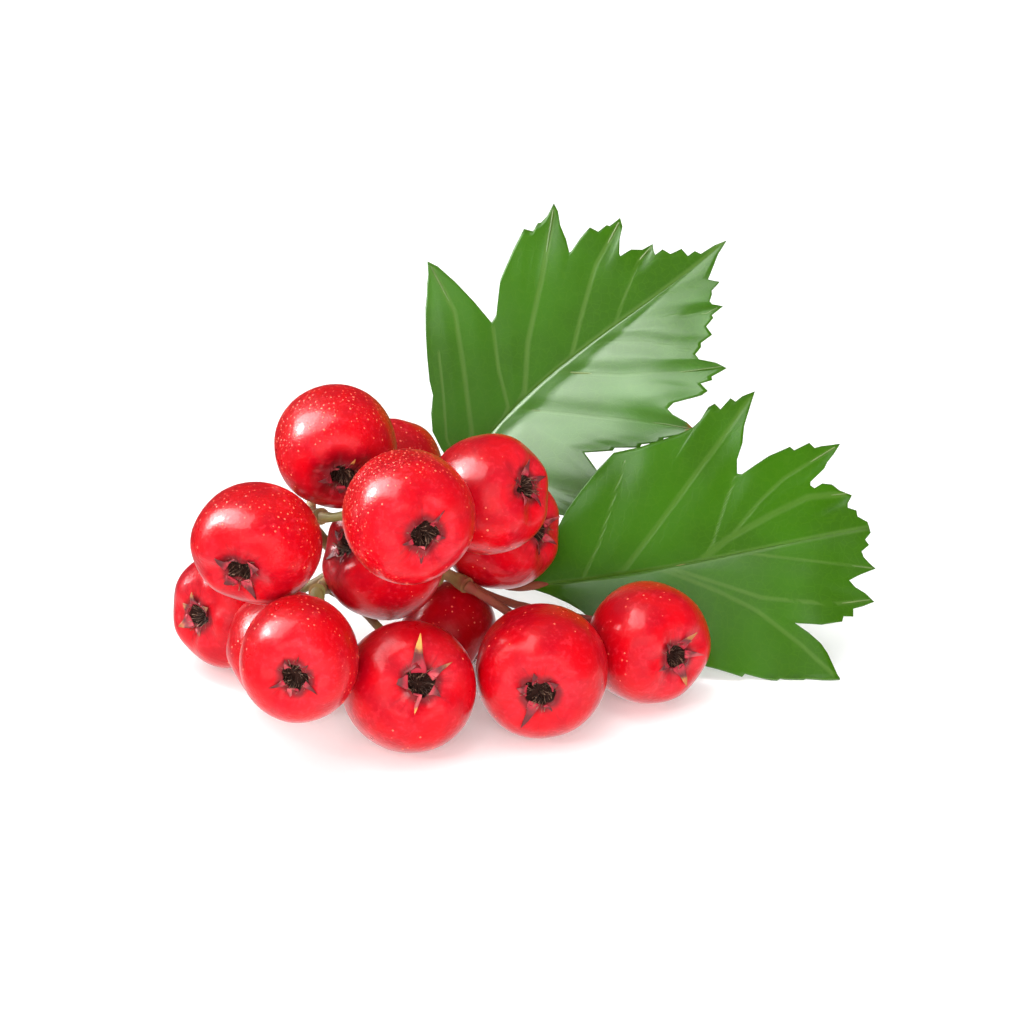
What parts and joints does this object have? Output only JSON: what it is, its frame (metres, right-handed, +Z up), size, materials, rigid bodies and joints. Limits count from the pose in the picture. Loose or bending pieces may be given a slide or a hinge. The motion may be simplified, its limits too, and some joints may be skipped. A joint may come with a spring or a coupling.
{
  "type": "cut hawthorn sprig",
  "caption": "Cut sprig of red haws on short stalks that branch from one flower stem, with two lobed leaves and a piece of twig, lying on a flat surface.",
  "frame": {"origin": "middle of the footprint, on the surface the sprig lies on", "axes": "+X from the haws towards the tip of the right leaf, +Z up, -Y towards the calyx ends of the front haws and +Y towards the cut end of the twig"},
  "size_m": [0.0788, 0.0666, 0.0435],
  "materials": {
    "haw_skin": "glossy waxy fruit skin, bright red with fine pale dots",
    "leaf": "semi-gloss green leaf",
    "green_stalk": "matt olive to tan stalk",
    "bark": "matt grey-brown young bark"
  },
  "bodies": {
    "root": {"twig": "bark", "flower_stem": "green_stalk", "branch_right": "green_stalk", "branch_upper": "green_stalk", "branch_lower": "green_stalk", "haw_crest": "haw_skin", "stalk_crest": "green_stalk", "haw_rear": "haw_skin", "stalk_rear": "green_stalk", "haw_face": "haw_skin", "stalk_face": "green_stalk", "haw_shoulder": "haw_skin", "stalk_shoulder": "green_stalk", "haw_flank": "haw_skin", "stalk_flank": "green_stalk", "haw_left": "haw_skin", "stalk_left": "green_stalk", "haw_far_left": "haw_skin", "stalk_far_left": "green_stalk", "haw_front_left": "haw_skin", "stalk_front_left": "green_stalk", "haw_core": "haw_skin", "stalk_core": "green_stalk", "haw_nook": "haw_skin", "stalk_nook": "green_stalk", "haw_front": "haw_skin", "stalk_front": "green_stalk", "haw_front_right": "haw_skin", "stalk_front_right": "green_stalk", "haw_far_right": "haw_skin", "stalk_far_right": "green_stalk", "haw_tucked": "haw_skin", "stalk_tucked": "green_stalk", "leaf_upper": "leaf", "petiole_upper": "green_stalk", "leaf_right": "leaf", "petiole_right": "green_stalk"}
  },
  "joints": []
}
